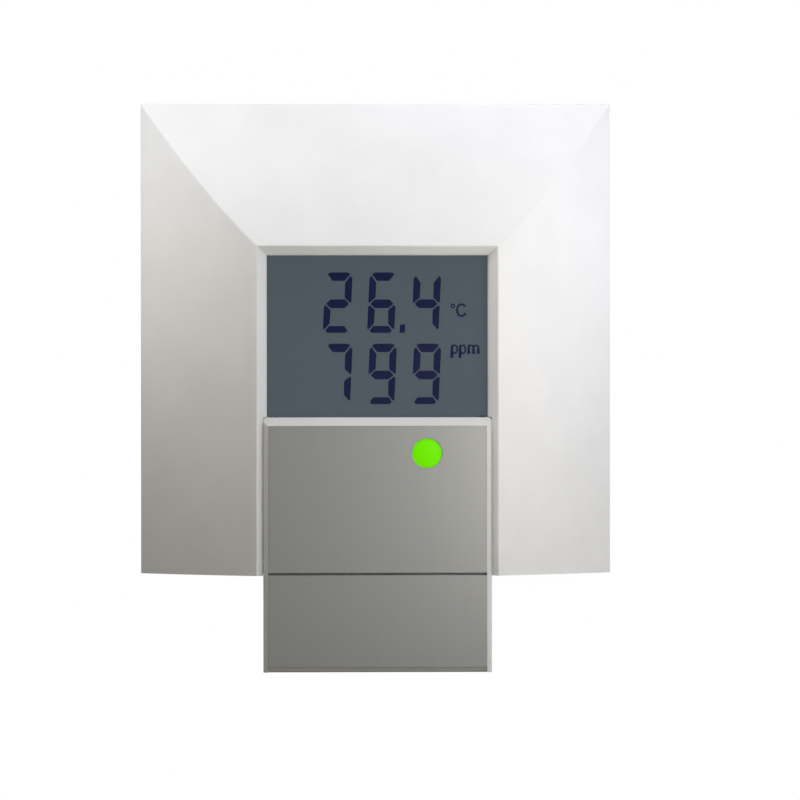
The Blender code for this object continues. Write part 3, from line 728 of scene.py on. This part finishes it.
for number in range(1, 5):
    screw(f"main_board_screw_{number}", 1.9, 10.9, 12.6, 0.95, turn=0.5 * number)
    screw(f"housing_screw_{number}", 2.1, 8.3, 10.1, 0.95, turn=0.7 * number)
for number in (1, 2):
    screw(f"board_screw_{number}", 2.0, 5.3, 6.8, 0.95, turn=0.9 * number)
for number in range(1, 7):
    screw(f"terminal_screw_{number}", 1.6, 10.1, 12.3, 1.2, turn=0.55 * number, slotted=True)

CAN = 3.15
for number in (1, 2):
    x, z, back, front = middle_of(f"filter_capacitor_{number}")
    can = [(0, front - 0.25), (2.2, front - 0.25), (2.5, front), (CAN, front - 0.4), (CAN, back + 2.0)]
    can += [(CAN - 0.3, back + 1.6), (CAN, back + 1.2), (CAN, back), (0, back)]
    turned(f"filter_capacitor_{number}", eased(can, 0.3), x, z)

x, z, back, front = middle_of("calibration_button")
cap = [(0, front - 0.25), (0.7, front - 0.18), (1.1, front), (1.65, front - 0.1), (1.65, back), (0, back)]
turned("calibration_button", eased(cap, 0.3), x, z)

MILLED_EDGE = moulded("window_milled_edge", (0.30, 0.335, 0.35), 0.6, grain=0.15, depth=0.01, dust_and_shade=0.0)
two_toned("display_window", 0.1, lambda x, depth, z: 22.4 < depth < 23.2, MATERIALS["window"], MILLED_EDGE)
two_toned("pin_header", 0.06, lambda x, depth, z: depth < 10.38, MATERIALS["black_plastic"], GOLD)


# ---------------------------------------------------------------- tracks, leads, contacts and prints

TRACKS = moulded("track_mask", (0.02, 0.17, 0.07), 0.3, grain=0.4, depth=0.004, dust_and_shade=0.0)
PRINT = moulded("board_print", (0.78, 0.78, 0.74), 0.6, grain=0.2, depth=0.004, dust_and_shade=0.0)
RESISTOR = moulded("resistor_body", (0.03, 0.032, 0.035), 0.4, grain=0.1, depth=0.004)
CERAMIC = moulded("ceramic_body", (0.42, 0.30, 0.19), 0.5, grain=0.1, depth=0.004)
FIGURES = {
    "1": [(0.15, 1.3), (0.5, 1.6), (0.5, 0)],
    "2": [(0, 1.3), (0.2, 1.6), (0.8, 1.6), (1, 1.3), (1, 1), (0, 0), (1, 0)],
    "3": [(0, 1.6), (1, 1.6), (0.45, 0.95), (0.8, 0.9), (1, 0.6), (1, 0.3)]
    + [(0.75, 0), (0.25, 0), (0, 0.25)],
    "4": [(0.75, 0), (0.75, 1.6), (0, 0.5), (1, 0.5)],
    "5": [(0.95, 1.6), (0.1, 1.6), (0.05, 0.95), (0.6, 1), (1, 0.7), (1, 0.3)]
    + [(0.7, 0), (0.25, 0), (0, 0.2)],
    "6": [(0.85, 1.6), (0.3, 1.25), (0, 0.7), (0, 0.3), (0.3, 0), (0.7, 0)]
    + [(1, 0.3), (1, 0.6), (0.7, 0.9), (0.15, 0.8)],
}


def add_figure(shape, figure, x, z, height, depth):
    """A printed figure, its lower left corner at x, z."""
    size = height / 1.6
    points = [(x + u * size, z + v * size) for u, v in FIGURES[figure]]
    add_stroke(shape, points, height * 0.13, (depth, depth + 0.03))


def add_rounds(shape, places, radius, depths, sides=16):
    """Round blocks at (x, z) places."""
    for x, z in places:
        prism(shape, arc(x, z, radius, radius, 0, 360 - 360 / sides, sides - 1), depths)


def blocks_piece(name, blocks, body, slot, material, width=0.05, segments=2):
    """Small blocks of (x range, depth range, z range) with rounded edges, as one piece."""
    shape = bmesh.new()
    for xs, depths, zs in blocks:
        add_block(shape, xs, depths, zs)
    bmesh.ops.recalc_face_normals(shape, faces=shape.faces)
    for face in shape.faces:
        face.smooth = True
    weigh_edges(shape)
    piece = add_piece(name, mesh_of(shape, name), body, slot, material)
    return rounded(piece, width, segments)


def around(x, z, wide, high):
    """The x range and the z range of a rectangle round its middle."""
    return (x - wide / 2, x + wide / 2), (z - high / 2, z + high / 2)


def over(face, rise, sunk=0.02):
    """The depths of something that stands on a face and reaches a little into it."""
    return face - sunk, face + rise


_, _, BOARD_BACK, BOARD_FACE, _, _ = limits_of("main_board")
_, _, _, DIP_FACE, DIP_FOOT, DIP_TOP = limits_of("dip_switch_body")
DIP_CENTRES = [middle_of(f"dip_slider_{number}")[0] for number in range(1, 5)]
button_x, button_z, _, _ = middle_of("button_base")
FINE_TRACKS = [
    [(13.4, -57.0), (13.4, -51.8), (15.6, -49.6), (15.6, -43.0)],
    [(-1.2, -43.0), (-1.2, -50.6), (-0.4, -51.4), (-0.4, -52.3)],
    [(0.2, -43.0), (0.2, -50.4), (0.7, -50.9), (0.7, -52.3)],
    [(1.6, -43.0), (1.6, -52.3)],
]
WIDE_TRACKS = [[(-17.3, -52.4), (-17.3, -44.5), (-15.8, -43.0)], [(17.3, -52.4), (17.3, -43.0)]]
VIAS = [(-17.3, -50.6), (17.3, -50.2), (15.6, -46.8), (-1.2, -45.4), (0.2, -46.6), (1.6, -47.9)]

tracks = bmesh.new()
TRACK_RISE = over(BOARD_FACE, 0.035)
for number, x in enumerate(DIP_CENTRES):
    up = [(x, DIP_TOP), (x, DIP_TOP + 1.1), (x + 1.6, DIP_TOP + 2.7)]
    add_stroke(tracks, up, 0.32, TRACK_RISE)
    turn_z = DIP_FOOT - (0.75 + 0.55 * (3 - number))
    if number < 3:
        add_stroke(tracks, [(x, DIP_FOOT), (x, turn_z), (-4.9 + 0.5 * number, turn_z)], 0.26, TRACK_RISE)
for side in (-1, 1):
    foot = button_x + side * 3.6
    up = [(foot, button_z + 1.8), (foot, button_z + 4.2), (foot - 2, button_z + 6.2)]
    add_stroke(tracks, up, 0.4, TRACK_RISE)
    add_stroke(tracks, [(foot, button_z - 1.8), (foot, button_z - 4.0)], 0.4, TRACK_RISE)
for route in WIDE_TRACKS:
    add_stroke(tracks, route, 0.7, TRACK_RISE)
for route in FINE_TRACKS:
    add_stroke(tracks, route, 0.3, TRACK_RISE)
closed_piece("main_board_tracks", tracks, "front", "circuit_board", TRACKS)

pads = bmesh.new()
add_rounds(pads, VIAS, 0.34, over(BOARD_FACE, 0.06))
add_rounds(pads, [(11.9, z) for z in (-56.2, -54.6, -53.0)], 0.62, over(BOARD_FACE, 0.05), 20)
closed_piece("main_board_pads", pads, "front", "circuit_board", TIN)

legs = [around(x, z, 0.7, 0.8) for x in DIP_CENTRES for z in (DIP_FOOT - 0.25, DIP_TOP + 0.25)]
legs = [(xs, over(BOARD_FACE, 0.55, 0.05), zs) for xs, zs in legs]
for side in (-1, 1):
    for up in (-1.8, 1.8):
        xs, zs = around(button_x + side * 3.35, button_z + up, 1.1, 0.7)
        legs.append((xs, over(BOARD_FACE, 0.35, 0.05), zs))
blocks_piece("switch_legs", legs, "front", "screw_steel", TIN, 0.1)

LYING, UPRIGHT = 1, -1
CHIP, CHIP_END = (1.6, 0.8), (0.42, 0.86)
SMALL_PARTS = [
    (-16.1, -53.0, LYING, "resistor"),
    (-9.3, -54.6, UPRIGHT, "capacitor"),
    (-9.3, -56.2, LYING, "resistor"),
    (13.4, -47.3, UPRIGHT, "resistor"),
    (13.4, -45.3, UPRIGHT, "capacitor"),
    (9.2, -53.4, LYING, "resistor"),
]
ends, resistors, ceramics = [], [], []
for x, z, lie, kind in SMALL_PARTS:
    xs, zs = around(x, z, *CHIP[::lie])
    (resistors if kind == "resistor" else ceramics).append((xs, over(BOARD_FACE, 0.5), zs))
    for side in (-0.62, 0.62):
        along, up = (side, 0)[::lie]
        xs, zs = around(x + along, z + up, *CHIP_END[::lie])
        ends.append((xs, over(BOARD_FACE, 0.53, 0.03), zs))
blocks_piece("small_part_ends", ends, "front", "circuit_board", TIN)
blocks_piece("small_resistors", resistors, "front", "circuit_board", RESISTOR)
blocks_piece("small_capacitors", ceramics, "front", "circuit_board", CERAMIC)

prints = bmesh.new()
for number, x in enumerate(DIP_CENTRES, start=1):
    add_figure(prints, str(number), x - 0.3, DIP_FOOT + 0.28, 0.9, DIP_FACE)
tip_x, tip_z = DIP_CENTRES[0] - 0.05, DIP_TOP - 0.2
arrow = [(tip_x, tip_z), (tip_x - 0.45, tip_z - 0.8), (tip_x + 0.45, tip_z - 0.8)]
prism(prints, arrow, over(DIP_FACE, 0.03, 0.0))
closed_piece("switch_numbers", prints, "front", "switch_red", PRINT)

FIELD_FACE = limits_of("terminal_board")[3]
BLOCK_LEFT = limits_of("terminal_block")[0]
socket_x, socket_z, _, socket_front = middle_of("plug_socket")
terminals = [middle_of(f"terminal_screw_{number}") for number in range(1, 7)]
field = bmesh.new()
numbers = bmesh.new()
for number, (x, z, _, _) in enumerate(terminals, start=1):
    end = socket_z + (number - 3.5) * 3.0
    path = [(BLOCK_LEFT + 0.3, z), (21.5, z), (21.5 - abs(z - end) - 0.01, end), (socket_x + 2.3, end)]
    add_stroke(field, path, 0.95, over(FIELD_FACE, 0.04))
    add_figure(numbers, str(number), BLOCK_LEFT - 2.0, z + 0.8, 1.5, FIELD_FACE)
closed_piece("terminal_board_tracks", field, "wall_base", "circuit_board", TRACKS)
closed_piece("terminal_numbers", numbers, "wall_base", "circuit_board", PRINT)

clamps = []
for x, z, _, _ in terminals:
    reach = (BLOCK_LEFT + 0.7, BLOCK_LEFT + 3.4)
    clamps += [(reach, (depth, depth + 0.3), (z - 1.5, z + 1.5)) for depth in (6.3, 8.8)]
    clamps += [(reach, (6.4, 9.0), (up - 0.15, up + 0.15)) for up in (z - 1.35, z + 1.35)]
blocks_piece("terminal_clamps", clamps, "wall_base", "screw_steel", TIN)

PINS = 8
_, _, _, _, foot, top = limits_of("pin_header")
first, last = foot + 1.6, top - 1.6
leaves = []
for step in range(PINS):
    z = first + (last - first) * step / (PINS - 1)
    for side in (-1, 1):
        xs, zs = around(socket_x + side * 0.62, z, 0.28, 1.0)
        leaves.append((xs, (6.0, socket_front - 0.35), zs))
blocks_piece("socket_contacts", leaves, "wall_base", "black_plastic", GOLD)

SIDE_LEADS = 12
left, right, _, _, foot, top = limits_of("processor")
depths = (BOARD_BACK - 0.36, BOARD_BACK - 0.14)
leads = []
for step in range(SIDE_LEADS):
    share = (step + 0.5) / SIDE_LEADS
    at_x, at_z = left + (right - left) * share, foot + (top - foot) * share
    for edge, way in ((left, -1), (right, 1)):
        leads.append((sorted((edge - way * 0.1, edge + way)), depths, (at_z - 0.14, at_z + 0.14)))
    for edge, way in ((foot, -1), (top, 1)):
        leads.append(((at_x - 0.14, at_x + 0.14), depths, sorted((edge - way * 0.1, edge + way))))

left, right, _, _, foot, top = limits_of("voltage_regulator")
depths = (BOARD_BACK - 0.5, BOARD_BACK - 0.1)
tabs = [around((left + right) / 2 + step * 2.3, foot - 0.7, 0.8, 1.8) for step in (-1, 0, 1)]
tabs.append(around((left + right) / 2, top + 0.7, 3.1, 1.8))
leads += [(xs, depths, zs) for xs, zs in tabs]
blocks_piece("chip_leads", leads, "front", "circuit_board", TIN, 0.04)

TRAY_FLOOR = 1.8
ejector_marks = [(x, z) for x in (-36.0, -8.0, 8.0, 36.0) for z in (-36.0, 36.0)]
ejector_marks += [(-36.0, 0.0), (12.0, 14.0), (-8.0, -18.0)]
marks = bmesh.new()
add_rounds(marks, ejector_marks, 1.6, over(TRAY_FLOOR, 0.09, 0.05), 40)
prism(marks, [(0.0, 38.3), (-2.3, 35.3), (2.3, 35.3)], over(TRAY_FLOOR, 0.25, 0.05))
closed_piece("wall_plate_marks", marks, "wall_base", "wall_plate_white")


# ---------------------------------------------------------------- stage, light and camera

scene.view_settings.view_transform = "Standard"

world = bpy.data.worlds.new("studio")
scene.world = world
world.use_nodes = True
tree = world.node_tree
tree.nodes.clear()
seen_sky = node_of(tree, "ShaderNodeBackground", Color=(1.0, 1.0, 1.0, 1.0), Strength=1.0)
soft_sky = node_of(tree, "ShaderNodeBackground", Color=(1.0, 1.0, 1.0, 1.0), Strength=0.15)
ray = tree.nodes.new("ShaderNodeLightPath")
either = tree.nodes.new("ShaderNodeMixShader")
sky = tree.nodes.new("ShaderNodeOutputWorld")
tree.links.new(ray.outputs["Is Camera Ray"], either.inputs[0])
tree.links.new(soft_sky.outputs[0], either.inputs[1])
tree.links.new(seen_sky.outputs[0], either.inputs[2])
tree.links.new(either.outputs[0], sky.inputs["Surface"])

shape = bmesh.new()
bmesh.ops.create_circle(shape, cap_ends=True, segments=96, radius=9.0)
floor = bpy.data.objects.new("floor", mesh_of(shape, "floor"))
floor.location = (0, 0, -1.5)
floor_glow = moulded("floor_glow", (0.9, 0.9, 0.9), 0.7, grain=3.0, depth=0.2, dust_and_shade=0.0)
tree = floor_glow.node_tree
floor_shader = tree.nodes["Principled BSDF"]
# The floor's tone is its own glow, painted light, with strength 0.66 within 2 m of the middle rising to
# 1.0 beyond 8 m.
floor_shader.inputs["Emission Color"].default_value = (1.0, 0.995, 0.985, 1.0)
floor_place = tree.nodes.new("ShaderNodeTexCoord")
from_middle = node_of(tree, "ShaderNodeVectorMath")
from_middle.operation = "LENGTH"
tree.links.new(floor_place.outputs["Object"], from_middle.inputs[0])
fade = ranged(tree, from_middle.outputs["Value"], 0.66, 1.0, 2.0, 8.0)
tree.links.new(fade, floor_shader.inputs["Emission Strength"])
floor.data.materials.append(floor_glow)
scene.collection.objects.link(floor)
floor.visible_diffuse = False
floor.visible_glossy = False

# Name, azimuth and elevation in degrees, distance and size in millimetres, colour, power in watts.
LIT_POINT = Vector((0.0, -20.0, -5.0)) * MM
LIGHTS = [
    ("front_level_1", 37.6, 13.7, 84, 40, (1.0, 0.98, 0.92), 0.01877),
    ("right_top", 80, 75, 110, 50, (0.89, 0.9, 1.0), 0.03115),
    ("right_far_low", 80, -60, 800, 450, (0.81, 0.85, 1.0), 1.708),
    ("front_high", -30, 58, 110, 50, (1.0, 0.98, 0.93), 0.02259),
    ("right_high", 78.7, 35.7, 94, 40, (0.94, 0.92, 1.0), 0.01199),
    ("front_level_2", 37.6, -13.7, 84, 40, (1.0, 0.98, 0.93), 0.008203),
    ("left_high_1", -55, 57.3, 113, 40, (0.95, 0.95, 1.0), 0.01466),
    ("left_high_2", -78.7, 35.7, 94, 40, (0.86, 0.88, 1.0), 0.01066),
    ("left_level", -78.7, 14.7, 79, 40, (1.0, 0.96, 0.8), 0.006697),
    ("right_level", 78.7, 14.7, 79, 40, (0.87, 0.88, 1.0), 0.006485),
    ("right_low", 81.5, -32.7, 120, 40, (1.0, 0.96, 0.88), 0.01181),
    ("front_level_3", 26.6, -10.1, 114, 40, (1.0, 0.98, 0.94), 0.008333),
    ("front_level_4", 0, -10, 170, 80, (0.8, 0.82, 1.0), 0.009295),
    ("left_far_low", -55, -60, 800, 450, (1.0, 0.75, 0.0), 0.2691),
    ("front_far_low", -30, -60, 800, 450, (1.0, 0.83, 0.14), 0.1374),
    ("front_low", 30, -40, 110, 50, (0.99, 1.0, 0.96), 0.001093),
    ("behind_left", -165, 25, 700, 400, (1.0, 1.0, 1.0), 3.0),
    ("behind_right", 172, -5, 700, 400, (1.0, 0.99, 0.97), 1.2),
]


def towards(azimuth, elevation):
    """The direction of a place round the monitor: 0, 0 is straight in front of it."""
    turn, lift = radians(azimuth), radians(elevation)
    return Vector((sin(turn) * cos(lift), -cos(turn) * cos(lift), sin(lift)))


for name, azimuth, elevation, distance, size, colour, power in LIGHTS:
    lamp = bpy.data.lights.new(name, "AREA")
    lamp.size = size * MM
    lamp.color = colour
    lamp.energy = power
    holder = bpy.data.objects.new(name, lamp)
    side = towards(azimuth, elevation)
    holder.location = LIT_POINT + side * distance * MM
    holder.rotation_euler = side.to_track_quat("Z", "Y").to_euler()
    holder.visible_camera = False
    scene.collection.objects.link(holder)

VIEW_TARGET = Vector((4.33, -13.0, -11.19)) * MM
VIEW_ROLL = radians(-0.06)
VIEW_DISTANCE = 0.878
VIEW_SIDE = towards(-1.48, -0.07)
lens = bpy.data.cameras.new("camera")
lens.sensor_width = 36.0
lens.lens = 218.7
lens.clip_start = 0.01
lens.clip_end = 50.0
camera = bpy.data.objects.new("camera", lens)
turn = VIEW_SIDE.to_track_quat("Z", "Y").to_matrix().to_4x4() @ Matrix.Rotation(VIEW_ROLL, 4, "Z")
camera.matrix_world = Matrix.Translation(VIEW_TARGET + VIEW_SIDE * VIEW_DISTANCE) @ turn
scene.collection.objects.link(camera)
scene.camera = camera
